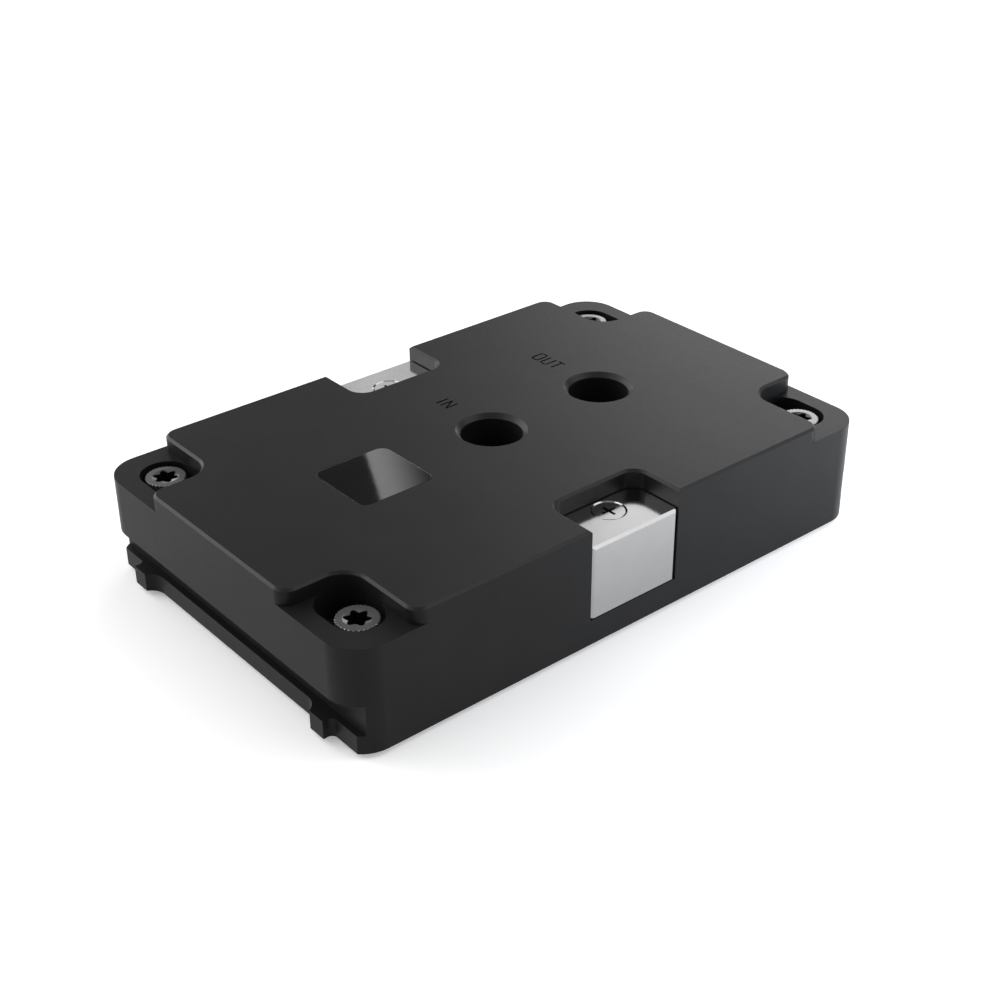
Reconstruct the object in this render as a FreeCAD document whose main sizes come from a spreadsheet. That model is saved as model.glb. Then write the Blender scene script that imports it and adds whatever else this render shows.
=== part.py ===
"""Liquid-cooling block for a large server processor, as a parametric assembly in millimetres.

The origin is at the centre of the cold plate's contact face. +X runs along the long side towards
the outlet port, +Y towards the rear long side, and +Z up towards the ports.
"""
import FreeCAD, Part
import math
import os

import Sketcher

DIMENSIONS = {
    "block_length": 118.0,
    "block_width": 75.7,
    "block_height": 22.8,
    "block_corner_radius": 6.5,
    "top_chamfer": 0.45,
    "step_depth": 3.0,
    "step_mouth_radius": 2.6,
    "mount_end_inset": 8.0,
    "mount_side_inset": 8.85,
    "well_radius": 4.5,
    "well_length": 4.0,
    "port_spacing": 26.4,
    "port_radius": 5.72,
    "port_mouth_radius": 6.6,
    "port_depth": 11.5,
    "pocket_width": 20.1,
    "pocket_depth": 11.0,
    "pocket_radius": 2.95,
    "front_bracket_drop": 3.6,
    "rear_bracket_drop": 2.95,
    "bracket_height": 14.0,
    "bracket_thickness": 3.0,
    "bracket_back_radius": 1.5,
    "bracket_bevel": 0.5,
    "bracket_gap": 0.25,
    "bracket_screw_inset": 7.4,
    "bracket_screw_offset": 0.6,
    "bracket_screw_length": 8.0,
    "groove_floor": 3.5,
    "groove_height": 5.6,
    "groove_depth": 3.15,
    "lip_inset": 1.9,
    "rail_cut_width": 52.4,
    "rail_cut_radius": 3.5,
    "tab_outer_span": 58.9,
    "tab_root_radius": 1.0,
    "badge_length": 15.5,
    "badge_width": 15.2,
    "badge_radius": 2.0,
    "badge_thickness": 1.0,
    "badge_gap": 0.1,
    "plate_end_inset": 16.0,
    "plate_side_inset": 2.85,
    "plate_thickness": 4.0,
    "plate_corner_radius": 3.0,
    "plate_proud": 1.0,
    "plate_gap": 0.15,
    "fin_end_space": 11.0,
    "fin_side_space": 4.2,
    "fin_height": 3.5,
    "fin_pitch": 0.8,
    "fin_slot": 0.4,
    "jet_thickness": 0.8,
    "jet_slot_width": 1.2,
    "jet_slot_inset": 1.0,
    "chamber_end_inset": 12.0,
    "chamber_side_inset": 10.5,
    "chamber_radius": 6.0,
    "plenum_end_inset": 3.0,
    "inlet_width": 8.0,
    "inlet_radius": 3.2,
    "outlet_end_inset": 1.0,
    "outlet_radius": 2.0,
    "seal_land": 1.7,
    "seal_groove_width": 2.6,
    "seal_groove_depth": 1.5,
    "seal_width": 2.4,
    "screw_radius": 1.5,
    "screw_clearance": 0.15,
    "screw_head_radius": 2.9,
    "screw_sink_radius": 3.2,
    "screw_end_gap": 0.5,
    "screw_recess_depth": 1.6,
    "screw_recess_width": 0.5,
    "screw_recess_span": 2.4,
    "plate_screw_inset": 3.5,
    "plate_screw_length": 8.0,
    "nut_head_radius": 3.65,
    "nut_head_height": 4.0,
    "nut_head_drop": 0.5,
    "nut_shank_radius": 2.9,
    "nut_shank_gap": 0.25,
    "nut_foot_reach": 0.1,
    "nut_thread_radius": 1.65,
    "nut_thread_depth": 9.0,
    "nut_drive_radius": 2.0,
    "nut_drive_waist": 1.45,
    "nut_drive_depth": 2.4,
    "washer_radius": 4.2,
    "washer_thickness": 0.8,
    "ring_radius": 4.2,
    "ring_thickness": 0.6,
    "ring_float": 0.2,
}

VOLUME_TOLERANCE = 1e-6
POSITION_TOLERANCE = 1e-4


class Size:
    """A length with its value and the sheet expression that it is bound to."""

    def __init__(self, value, text):
        self.value = value
        self.text = text

    def joined(self, sign, other, value):
        return Size(value, f"({self.text} {sign} {other.text})")

    def __add__(self, other):
        other = as_size(other)
        return self.joined("+", other, self.value + other.value)

    def __sub__(self, other):
        other = as_size(other)
        return self.joined("-", other, self.value - other.value)

    def __mul__(self, other):
        other = as_size(other)
        return self.joined("*", other, self.value * other.value)

    def __truediv__(self, other):
        other = as_size(other)
        return self.joined("/", other, self.value / other.value)

    def __neg__(self):
        return as_size(0.0) - self

    def __rsub__(self, other):
        return as_size(other) - self

    __radd__ = __add__
    __rmul__ = __mul__


def whole(size):
    """The size rounded down to a whole number."""
    return Size(math.floor(size.value), f"floor({size.text})")


def as_size(number):
    """The number as a Size, so that plain numbers mix with bound lengths."""
    if isinstance(number, Size):
        return number
    return Size(float(number), repr(float(number)))


class Sizes:
    """Every driving dimension of the sheet as an attribute that is a Size."""

    def __init__(self, sheet):
        for name in DIMENSIONS:
            setattr(self, name, Size(sheet.get(name), f"{sheet.Name}.{name}"))


def make_sheet(doc):
    """The spreadsheet that holds the driving dimensions."""
    sheet = doc.addObject("Spreadsheet::Sheet", "Sizes")
    for row, (name, value) in enumerate(DIMENSIONS.items(), start=1):
        sheet.set(f"A{row}", name)
        sheet.set(f"B{row}", repr(value))
        sheet.setAlias(f"B{row}", name)
    doc.recompute()
    return sheet


DOC = FreeCAD.newDocument("water_block")
S = Sizes(make_sheet(DOC))

# Levels above the block's own underside
STEP_FLOOR = S.block_height - S.step_depth
PLATE_SEAT = S.plate_thickness - S.plate_proud
CHAMBER_TOP = PLATE_SEAT + S.fin_height + S.jet_thickness
PORT_FLOOR = S.block_height - S.port_depth
HEAD_TOP = STEP_FLOOR - S.nut_head_drop
WELL_FLOOR = HEAD_TOP - S.nut_head_height - S.washer_thickness
RING_FLOOR = -(S.ring_float + S.ring_thickness)
NUT_FOOT = RING_FLOOR - S.nut_foot_reach
BRACKET_TOPS = {
    "front": S.block_height - S.front_bracket_drop,
    "rear": S.block_height - S.rear_bracket_drop,
}

# Places in plan
HALF_LENGTH = S.block_length / 2
HALF_WIDTH = S.block_width / 2
MOUNT_X = HALF_LENGTH - S.mount_end_inset
MOUNT_Y = HALF_WIDTH - S.mount_side_inset
NOTCH_X = MOUNT_X - S.well_radius
NOTCH_Y = MOUNT_Y - S.well_length - S.well_radius
POCKET_X = S.pocket_width / 2
POCKET_Y = HALF_WIDTH - S.pocket_depth
SIDES = {"front": -1, "rear": 1}
CORNERS = {"front_left": (-1, -1), "front_right": (1, -1), "rear_left": (-1, 1), "rear_right": (1, 1)}
PLATE_LENGTH = S.block_length - 2 * S.plate_end_inset
PLATE_WIDTH = S.block_width - 2 * S.plate_side_inset
CHAMBER_LENGTH = PLATE_LENGTH - 2 * S.chamber_end_inset
CHAMBER_WIDTH = PLATE_WIDTH - 2 * S.chamber_side_inset
FIN_COUNT = whole((CHAMBER_WIDTH - 2 * S.fin_side_space + S.fin_slot) / S.fin_pitch)
FIN_WIDTH = S.fin_pitch * FIN_COUNT - S.fin_slot
FIN_LENGTH = CHAMBER_LENGTH - 2 * S.fin_end_space
PLENUM_LENGTH = FIN_WIDTH - 2 * S.plenum_end_inset
SCREW_HOLE_RADIUS = S.screw_radius + S.screw_clearance
SCREW_DROP = S.screw_sink_radius - S.screw_head_radius
NUT_HOLE_RADIUS = S.nut_shank_radius + S.nut_shank_gap
NUT_LOBES = 6
OUTSIDE = 5.0

UPRIGHT = FreeCAD.Rotation()
TURNED_ROUND = FreeCAD.Rotation(FreeCAD.Vector(0, 0, 1), 180)
UPSIDE_DOWN = FreeCAD.Rotation(FreeCAD.Vector(1, 0, 0), 180)


def bind(target, path, size):
    target.setExpression(path, as_size(size).text)


def make_body(doc, label, place=(0, 0, 0), rotation=UPRIGHT):
    """An empty body at a bound place."""
    body = doc.addObject("PartDesign::Body", label)
    body.Label = label
    base = FreeCAD.Vector(*(as_size(number).value for number in place))
    body.Placement = FreeCAD.Placement(base, rotation)
    for axis, number in zip("xyz", place):
        bind(body, f"Placement.Base.{axis}", number)
    return body


def make_sketch(body, name, height=0, plane="XY_Plane"):
    """An empty sketch on one of the body's own planes, raised along the plane's normal."""
    sketch = body.newObject("Sketcher::SketchObject", name)
    support = [feature for feature in body.Origin.OriginFeatures if feature.Role == plane][0]
    sketch.AttachmentSupport = (support, [""])
    sketch.MapMode = "FlatFace"
    bind(sketch, "AttachmentOffset.Base.z", height)
    return sketch


def hold(sketch, kind, arguments, size):
    """A dimension of the sketch, bound to the sheet."""
    index = sketch.addConstraint(Sketcher.Constraint(kind, *arguments, size.value))
    bind(sketch, f"Constraints[{index}]", size)


def hold_point(sketch, geometry, position, x, y):
    hold(sketch, "DistanceX", (-1, 1, geometry, position), as_size(x))
    hold(sketch, "DistanceY", (-1, 1, geometry, position), as_size(y))


def unit_step(start, end):
    """The direction, along one axis, from one corner of an outline to the next."""
    dx = end[0].value - start[0].value
    dy = end[1].value - start[1].value
    if abs(dx) > abs(dy):
        return (math.copysign(1, dx), 0)
    return (0, math.copysign(1, dy))


def draw_outline(sketch, corners):
    """A closed outline of corners (x, y) or (x, y, radius), where a round one joins lines along the axes."""
    points = [(as_size(corner[0]), as_size(corner[1])) for corner in corners]
    radii = [as_size(corner[2]) if len(corner) > 2 else None for corner in corners]
    steps = [unit_step(points[i - 1], points[i]) for i in range(len(points))]
    steps.append(steps[0])
    entries = []
    exits = []
    for i, (x, y) in enumerate(points):
        reach = radii[i].value if radii[i] else 0
        arrive, leave = steps[i], steps[i + 1]
        entries.append(FreeCAD.Vector(x.value - reach * arrive[0], y.value - reach * arrive[1], 0))
        exits.append(FreeCAD.Vector(x.value + reach * leave[0], y.value + reach * leave[1], 0))
    lines = []
    for i in range(len(points)):
        line = Part.LineSegment(exits[i], entries[(i + 1) % len(points)])
        lines.append(sketch.addGeometry(line, False))
    for i, (x, y) in enumerate(points):
        arriving, leaving = lines[i - 1], lines[i]
        if radii[i] is None:
            sketch.addConstraint(Sketcher.Constraint("Coincident", arriving, 2, leaving, 1))
            hold_point(sketch, leaving, 1, x, y)
            continue
        draw_corner(sketch, (x, y), radii[i], steps[i], steps[i + 1], arriving, leaving)


def draw_corner(sketch, point, radius, arrive, leave, arriving, leaving):
    """A round corner of an outline, tangent to the line before it and the line after it."""
    centre_x = point[0] + radius * (leave[0] - arrive[0])
    centre_y = point[1] + radius * (leave[1] - arrive[1])
    turns_left = arrive[0] * leave[1] - arrive[1] * leave[0] > 0
    first = math.atan2(-leave[1], -leave[0])
    last = math.atan2(arrive[1], arrive[0])
    if not turns_left:
        first, last = last, first
    circle = Part.Circle(
        FreeCAD.Vector(centre_x.value, centre_y.value, 0), FreeCAD.Vector(0, 0, 1), radius.value
    )
    arc = sketch.addGeometry(Part.ArcOfCircle(circle, first, last), False)
    entry, exit = (1, 2) if turns_left else (2, 1)
    sketch.addConstraint(Sketcher.Constraint("Tangent", arriving, 2, arc, entry))
    sketch.addConstraint(Sketcher.Constraint("Tangent", arc, exit, leaving, 1))
    hold_point(sketch, arc, 3, centre_x, centre_y)
    hold(sketch, "Radius", (arc,), radius)


def draw_rectangle(sketch, x, y, length, width, radius=None):
    """A rectangle around a centre, with round corners where a radius is given."""
    left, right = x - length / 2, x + length / 2
    front, rear = y - width / 2, y + width / 2
    corners = [(left, front), (right, front), (right, rear), (left, rear)]
    if radius is not None:
        corners = [(*corner, radius) for corner in corners]
    draw_outline(sketch, corners)


def draw_circle(sketch, x, y, radius):
    radius = as_size(radius)
    centre = FreeCAD.Vector(as_size(x).value, as_size(y).value, 0)
    circle = sketch.addGeometry(Part.Circle(centre, FreeCAD.Vector(0, 0, 1), radius.value), False)
    hold_point(sketch, circle, 3, x, y)
    hold(sketch, "Radius", (circle,), radius)


def draw_slot(sketch, x, start_y, end_y, radius):
    """An obround slot along Y between the centres of its two round ends."""
    low, high = (start_y, end_y) if start_y.value < end_y.value else (end_y, start_y)
    ends = []
    for y, first in ((low, math.pi), (high, 0.0)):
        centre = FreeCAD.Vector(x.value, y.value, 0)
        circle = Part.Circle(centre, FreeCAD.Vector(0, 0, 1), radius.value)
        ends.append(sketch.addGeometry(Part.ArcOfCircle(circle, first, first + math.pi), False))
    sides = []
    for start, end, side in ((low, high, 1), (high, low, -1)):
        edge = x.value + side * radius.value
        line = Part.LineSegment(FreeCAD.Vector(edge, start.value, 0), FreeCAD.Vector(edge, end.value, 0))
        sides.append(sketch.addGeometry(line, False))
    around = [ends[0], sides[0], ends[1], sides[1]]
    for first, second in zip(around, around[1:] + around[:1]):
        sketch.addConstraint(Sketcher.Constraint("Tangent", first, 2, second, 1))
    for end, y in zip(ends, (low, high)):
        hold_point(sketch, end, 3, x, y)
        hold(sketch, "Radius", (end,), radius)


def draw_cross(sketch, span, width):
    """A cross around the sketch's origin, with its arms along both axes."""
    reach, half = span / 2, width / 2
    arm = ((reach, -half), (reach, half), (half, half))
    corners = []
    for turn_x, turn_y in ((1, 0), (0, 1), (-1, 0), (0, -1)):
        for along, across in arm:
            corners.append((turn_x * along - turn_y * across, turn_y * along + turn_x * across))
    draw_outline(sketch, corners)


def draw_star(sketch, outer, inner, points):
    """A star around the sketch's origin, which stands for a recess with round lobes."""
    corners = []
    for i in range(2 * points):
        radius = inner if i % 2 else outer
        angle = math.pi * (i + 0.5) / points
        corners.append((radius * math.cos(angle), radius * math.sin(angle)))
    draw_outline(sketch, corners)


def volume_of(body):
    shape = body.Shape
    return 0.0 if shape.isNull() else shape.Volume


def pad(body, sketch, length, name):
    """Material raised from a sketch along its normal."""
    before = volume_of(body)
    feature = body.newObject("PartDesign::Pad", name)
    feature.Profile = sketch
    bind(feature, "Length", length)
    body.Document.recompute()
    if volume_of(body) <= before + VOLUME_TOLERANCE:
        raise RuntimeError(f"{name} adds nothing")
    return feature


def pocket(body, sketch, depth, name, upward=False, both_ways=False):
    """Material cut from a sketch, against its normal unless it cuts upward or both ways."""
    before = volume_of(body)
    feature = body.newObject("PartDesign::Pocket", name)
    feature.Profile = sketch
    feature.Reversed = upward
    if both_ways:
        feature.SideType = "Symmetric"
    bind(feature, "Length", depth)
    body.Document.recompute()
    if volume_of(body) >= before - VOLUME_TOLERANCE:
        raise RuntimeError(f"{name} cuts nothing")
    return feature


def edges_at(feature, height, test=None):
    """The names of the feature's edges that lie flat at a height and pass a test."""
    names = []
    for number, edge in enumerate(feature.Shape.Edges, start=1):
        box = edge.BoundBox
        flat = box.ZLength < POSITION_TOLERANCE and abs(box.ZMax - height) < POSITION_TOLERANCE
        if flat and (test is None or test(edge)):
            names.append(f"Edge{number}")
    return names


def is_circle(radius):
    """A test for a round edge of a radius."""
    def test(edge):
        curve = edge.Curve
        return isinstance(curve, Part.Circle) and abs(curve.Radius - radius) < POSITION_TOLERANCE
    return test


def chamfer(body, edges, size, name):
    """A bevel at 45 degrees along edges of the body's latest feature."""
    base = body.Tip
    feature = body.newObject("PartDesign::Chamfer", name)
    feature.Base = (base, edges)
    bind(feature, "Size", size)
    body.Document.recompute()
    return feature


def top_outline():
    """The corners of the raised top: notched at each corner and pocketed on both long sides."""
    mouth = S.step_mouth_radius
    half = [
        (-NOTCH_X, -HALF_WIDTH, mouth),
        (-POCKET_X, -HALF_WIDTH),
        (-POCKET_X, -POCKET_Y, S.pocket_radius),
        (POCKET_X, -POCKET_Y, S.pocket_radius),
        (POCKET_X, -HALF_WIDTH),
        (NOTCH_X, -HALF_WIDTH, mouth),
        (NOTCH_X, -NOTCH_Y, S.well_radius),
        (HALF_LENGTH, -NOTCH_Y, mouth),
        (HALF_LENGTH, NOTCH_Y, mouth),
        (NOTCH_X, NOTCH_Y, S.well_radius),
    ]
    other_half = [(-corner[0], -corner[1], *corner[2:]) for corner in half[:5]]
    last = [
        (-NOTCH_X, HALF_WIDTH, mouth),
        (-NOTCH_X, NOTCH_Y, S.well_radius),
        (-HALF_LENGTH, NOTCH_Y, mouth),
        (-HALF_LENGTH, -NOTCH_Y, mouth),
        (-NOTCH_X, -NOTCH_Y, S.well_radius),
    ]
    return half + other_half + last


def make_block(body):
    """The block's outside: a low block with round corners and a raised, notched top."""
    outline = make_sketch(body, "block_outline")
    draw_rectangle(outline, as_size(0), as_size(0), S.block_length, S.block_width, S.block_corner_radius)
    pad(body, outline, STEP_FLOOR, "low_block")
    raised = make_sketch(body, "top_outline", STEP_FLOOR)
    draw_outline(raised, top_outline())
    top = pad(body, raised, S.step_depth, "raised_top")
    rim = edges_at(top, S.block_height.value)
    chamfer(body, rim, S.top_chamfer, "top_rim_chamfer")


def cut_side_pocket(body, end):
    """On one long side, the stepped pocket for an angle bracket and the hole for its screw."""
    side = SIDES[end]
    ledge = BRACKET_TOPS[end] - S.bracket_thickness
    floor = BRACKET_TOPS[end] - S.bracket_height - S.bracket_gap
    steps = (
        ("seat", STEP_FLOOR, ledge, S.pocket_depth, S.pocket_radius),
        ("slot", ledge, floor, S.bracket_thickness + S.bracket_gap, S.bracket_back_radius),
    )
    outer = side * (HALF_WIDTH + OUTSIDE)
    for name, top, bottom, depth, radius in steps:
        outline = make_sketch(body, f"{end}_bracket_{name}_outline", top)
        inner = side * (HALF_WIDTH - depth)
        draw_outline(outline, [(-POCKET_X, outer), (-POCKET_X, inner, radius),
                               (POCKET_X, inner, radius), (POCKET_X, outer)])
        pocket(body, outline, top - bottom, f"{end}_bracket_{name}")
    hole = make_sketch(body, f"{end}_bracket_screw_place", ledge)
    x, y = bracket_screw_place(end)
    draw_circle(hole, x, y, S.screw_radius)
    depth = S.bracket_screw_length + SCREW_DROP - S.bracket_thickness + S.screw_end_gap
    pocket(body, hole, depth, f"{end}_bracket_screw_hole")


def bracket_screw_place(end):
    """The place of a bracket's screw: the brackets are alike, and the rear one is turned round."""
    side = SIDES[end]
    return -side * S.bracket_screw_offset, side * (HALF_WIDTH - S.bracket_screw_inset)


def cut_mount_wells(body):
    """At each corner, the slotted well and the fastener's hole."""
    wells = make_sketch(body, "well_outlines", STEP_FLOOR)
    holes = make_sketch(body, "nut_hole_places", WELL_FLOOR)
    for side_x, side_y in CORNERS.values():
        x, y = side_x * MOUNT_X, side_y * MOUNT_Y
        draw_slot(wells, x, side_y * (MOUNT_Y - S.well_length), y, S.well_radius)
        draw_circle(holes, x, y, NUT_HOLE_RADIUS)
    pocket(body, wells, STEP_FLOOR - WELL_FLOOR, "wells")
    pocket(body, holes, WELL_FLOOR, "nut_holes")


def cut_ports(body):
    """The inlet in the middle and the outlet beside it, each with a bevelled mouth."""
    places = make_sketch(body, "port_places", S.block_height)
    for x in (as_size(0), S.port_spacing):
        draw_circle(places, x, 0, S.port_radius)
    ports = pocket(body, places, S.port_depth, "ports")
    mouths = edges_at(ports, S.block_height.value, is_circle(S.port_radius.value))
    chamfer(body, mouths, S.port_mouth_radius - S.port_radius, "port_mouths")


def cut_badge_recess(body):
    recess = make_sketch(body, "badge_outline", S.block_height)
    draw_rectangle(recess, -S.port_spacing, as_size(0), S.badge_length, S.badge_width, S.badge_radius)
    pocket(body, recess, S.badge_thickness, "badge_recess")


def cut_ends(body):
    """At each short end, the clip groove and the lip below it with its rail and two tabs."""
    groove = make_sketch(body, "groove_outlines", plane="XZ_Plane")
    lip = make_sketch(body, "lip_outlines")
    face = HALF_LENGTH - S.lip_inset
    top = S.groove_floor + S.groove_height
    rail = S.rail_cut_width / 2
    tab_side = S.tab_outer_span / 2
    for side in (-1, 1):
        outer = side * (HALF_LENGTH + OUTSIDE)
        inner = side * (HALF_LENGTH - S.groove_depth)
        draw_outline(groove, [(inner, S.groove_floor), (outer, S.groove_floor), (outer, top), (inner, top)])
        draw_outline(
            lip,
            [
                (side * face, -rail, S.rail_cut_radius),
                (side * face, rail, S.rail_cut_radius),
                (outer, rail),
                (outer, -rail),
            ],
        )
        for end in (-1, 1):
            draw_outline(
                lip,
                [
                    (side * face, end * tab_side, S.tab_root_radius),
                    (side * face, end * (HALF_WIDTH + OUTSIDE)),
                    (outer, end * (HALF_WIDTH + OUTSIDE)),
                    (outer, end * tab_side),
                ],
            )
    pocket(body, groove, S.block_width + 2 * OUTSIDE, "clip_grooves", both_ways=True)
    pocket(body, lip, S.groove_floor, "lip_cuts", upward=True)


def plate_screw_places():
    """Six places around the cold plate: three along each long side."""
    x = PLATE_LENGTH / 2 - S.plate_screw_inset
    y = PLATE_WIDTH / 2 - S.plate_screw_inset
    return [(side_x * x, side_y * y) for side_x in (-1, 0, 1) for side_y in (-1, 1)]


def cut_water_chamber(body):
    """The seat of the cold plate, and above it the chamber, its plenums and the seal's groove."""
    gap = 2 * S.plate_gap
    middle = as_size(0)
    seat = make_sketch(body, "plate_seat_outline")
    draw_rectangle(seat, middle, middle, PLATE_LENGTH + gap, PLATE_WIDTH + gap,
                   S.plate_corner_radius + S.plate_gap)
    pocket(body, seat, PLATE_SEAT, "plate_seat", upward=True)
    chamber = make_sketch(body, "chamber_outline", PLATE_SEAT)
    draw_rectangle(chamber, middle, middle, CHAMBER_LENGTH, CHAMBER_WIDTH, S.chamber_radius)
    pocket(body, chamber, CHAMBER_TOP - PLATE_SEAT, "chamber", upward=True)
    plenums = make_sketch(body, "plenum_outlines", CHAMBER_TOP)
    draw_rectangle(plenums, middle, middle, S.inlet_width, PLENUM_LENGTH, S.inlet_radius)
    outlet_width = S.fin_end_space - S.outlet_end_inset
    outlet_x = (FIN_LENGTH + outlet_width) / 2
    draw_rectangle(plenums, outlet_x, middle, outlet_width, PLENUM_LENGTH, S.outlet_radius)
    pocket(body, plenums, PORT_FLOOR - CHAMBER_TOP, "plenums", upward=True)
    groove = make_sketch(body, "seal_groove_outline", PLATE_SEAT)
    for reach in (S.seal_land, S.seal_land + S.seal_groove_width):
        draw_rectangle(groove, middle, middle, CHAMBER_LENGTH + 2 * reach,
                       CHAMBER_WIDTH + 2 * reach, S.chamber_radius + reach)
    pocket(body, groove, S.seal_groove_depth, "seal_groove", upward=True)
    holes = make_sketch(body, "plate_screw_hole_places", PLATE_SEAT)
    for x, y in plate_screw_places():
        draw_circle(holes, x, y, S.screw_radius)
    depth = S.plate_screw_length + SCREW_DROP - S.plate_thickness + S.screw_end_gap
    pocket(body, holes, depth, "plate_screw_holes", upward=True)


def make_housing(doc):
    body = make_body(doc, "housing", (0, 0, S.plate_proud))
    make_block(body)
    for end in SIDES:
        cut_side_pocket(body, end)
    cut_mount_wells(body)
    cut_ports(body)
    cut_badge_recess(body)
    cut_ends(body)
    cut_water_chamber(body)
    return body


def make_cold_plate(doc):
    """The copper plate, with thin fins along X on its wet side and countersunk screw holes."""
    body = make_body(doc, "cold_plate")
    middle = as_size(0)
    outline = make_sketch(body, "plate_outline")
    draw_rectangle(outline, middle, middle, PLATE_LENGTH, PLATE_WIDTH, S.plate_corner_radius)
    pad(body, outline, S.plate_thickness, "plate")
    holes = make_sketch(body, "screw_hole_places", S.plate_thickness)
    for x, y in plate_screw_places():
        draw_circle(holes, x, y, SCREW_HOLE_RADIUS)
    drilled = pocket(body, holes, S.plate_thickness, "screw_holes")
    mouths = edges_at(drilled, 0, is_circle(SCREW_HOLE_RADIUS.value))
    chamfer(body, mouths, S.screw_sink_radius - SCREW_HOLE_RADIUS, "countersinks")
    field = make_sketch(body, "fin_block_outline", S.plate_thickness)
    draw_rectangle(field, middle, middle, FIN_LENGTH, FIN_WIDTH)
    pad(body, field, S.fin_height, "fin_block")
    slot = make_sketch(body, "fin_slot_outline", S.plate_thickness + S.fin_height)
    first = S.fin_pitch - S.fin_slot / 2 - FIN_WIDTH / 2
    draw_rectangle(slot, middle, first, FIN_LENGTH + 2 * OUTSIDE, S.fin_slot)
    cut = pocket(body, slot, S.fin_height, "fin_slot")
    repeat_along_y(body, cut, S.fin_pitch, FIN_COUNT - 1, "fin_slots")
    return body


def repeat_along_y(body, cut, pitch, count, name):
    """A row of copies of a cut along the body's Y axis."""
    before = volume_of(body)
    pattern = body.newObject("PartDesign::LinearPattern", name)
    pattern.Originals = [cut]
    line = [feature for feature in body.Origin.OriginFeatures if feature.Role == "Y_Axis"][0]
    pattern.Direction = (line, [""])
    bind(pattern, "Length", pitch * (count - 1))
    bind(pattern, "Occurrences", count)
    body.Tip = pattern
    body.Document.recompute()
    if volume_of(body) >= before - VOLUME_TOLERANCE:
        raise RuntimeError(f"{name} cuts nothing")


def make_jet_plate(doc):
    """The thin sheet on the fins, with one slot that spreads the inlet flow over them."""
    body = make_body(doc, "jet_plate", (0, 0, S.plate_thickness + S.fin_height))
    middle = as_size(0)
    outline = make_sketch(body, "sheet_outline")
    draw_rectangle(outline, middle, middle, FIN_LENGTH, FIN_WIDTH)
    pad(body, outline, S.jet_thickness, "sheet")
    slot = make_sketch(body, "jet_slot_outline", S.jet_thickness)
    reach = PLENUM_LENGTH / 2 - S.jet_slot_inset - S.jet_slot_width / 2
    draw_slot(slot, middle, -reach, reach, S.jet_slot_width / 2)
    pocket(body, slot, S.jet_thickness, "jet_slot")
    return body


def make_main_seal(doc):
    """The moulded rubber ring around the chamber, between the plate and its groove."""
    body = make_body(doc, "main_seal", (0, 0, S.plate_thickness))
    ring = make_sketch(body, "ring_outline")
    inner = S.seal_land + (S.seal_groove_width - S.seal_width) / 2
    for reach in (inner, inner + S.seal_width):
        draw_rectangle(ring, as_size(0), as_size(0), CHAMBER_LENGTH + 2 * reach,
                       CHAMBER_WIDTH + 2 * reach, S.chamber_radius + reach)
    pad(body, ring, S.seal_groove_depth, "ring")
    return body


def make_bracket(doc, end, rotation):
    """An angle bracket: a flange on the pocket's ledge and a plate down the block's side."""
    bottom = BRACKET_TOPS[end] - S.bracket_height
    place = (0, SIDES[end] * HALF_WIDTH, S.plate_proud + bottom)
    body = make_body(doc, f"{end}_bracket", place, rotation)
    side = POCKET_X - S.bracket_gap
    bend = S.bracket_height - S.bracket_thickness
    walls = (
        ("flange", bend, S.bracket_thickness, S.pocket_depth - S.bracket_gap, S.pocket_radius),
        ("side_plate", as_size(0), bend, S.bracket_thickness, S.bracket_back_radius),
    )
    for name, height, thickness, depth, pocket_corner in walls:
        outline = make_sketch(body, f"{name}_outline", height)
        radius = pocket_corner - S.bracket_gap
        draw_outline(outline, [(-side, 0), (side, 0), (side, depth, radius), (-side, depth, radius)])
        solid = pad(body, outline, thickness, name)
    chamfer(body, outer_face_edges(solid), S.bracket_bevel, "outer_bevel")
    hole = make_sketch(body, "screw_hole_place", S.bracket_height)
    draw_circle(hole, S.bracket_screw_offset, S.bracket_screw_inset, SCREW_HOLE_RADIUS)
    drilled = pocket(body, hole, S.bracket_thickness, "screw_hole")
    mouth = edges_at(drilled, S.bracket_height.value, is_circle(SCREW_HOLE_RADIUS.value))
    chamfer(body, mouth, S.screw_sink_radius - SCREW_HOLE_RADIUS, "countersink")
    return body


def outer_face_edges(feature):
    """The top edge and both upright edges of a bracket's outer face, which lies in the XZ plane."""
    names = []
    for number, edge in enumerate(feature.Shape.Edges, start=1):
        box = edge.BoundBox
        in_face = box.YLength < POSITION_TOLERANCE and abs(box.YMin) < POSITION_TOLERANCE
        if in_face and box.ZMax > POSITION_TOLERANCE:
            names.append(f"Edge{number}")
    return names


def turn_profile(body, corners, name):
    """A round piece turned from half of its upright section, given as (radius, height) corners."""
    section = make_sketch(body, f"{name}_section", plane="XZ_Plane")
    draw_outline(section, corners)
    turned = body.newObject("PartDesign::Revolution", name)
    turned.Profile = section
    turned.ReferenceAxis = (section, ["V_Axis"])
    turned.Angle = 360
    body.Document.recompute()
    return turned


def make_screw(doc, label, length, place=(0, 0, 0), rotation=UPRIGHT):
    """A countersunk screw: its head's flat face is at zero, its shank above."""
    body = make_body(doc, label, place, rotation)
    head_height = S.screw_head_radius - S.screw_radius
    turn_profile(
        body,
        [(0, 0), (S.screw_head_radius, 0), (S.screw_radius, head_height),
         (S.screw_radius, length), (0, length)],
        "blank",
    )
    return body


def make_bracket_screw(doc, end):
    """The screw of a bracket, head up in the bracket's countersink, with a cross recess."""
    height = S.plate_proud + BRACKET_TOPS[end] - SCREW_DROP
    place = (*bracket_screw_place(end), height)
    body = make_screw(doc, f"{end}_bracket_screw", S.bracket_screw_length, place, UPSIDE_DOWN)
    recess = make_sketch(body, "recess_outline")
    draw_cross(recess, S.screw_recess_span, S.screw_recess_width)
    pocket(body, recess, S.screw_recess_depth, "recess", upward=True)
    return body


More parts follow.
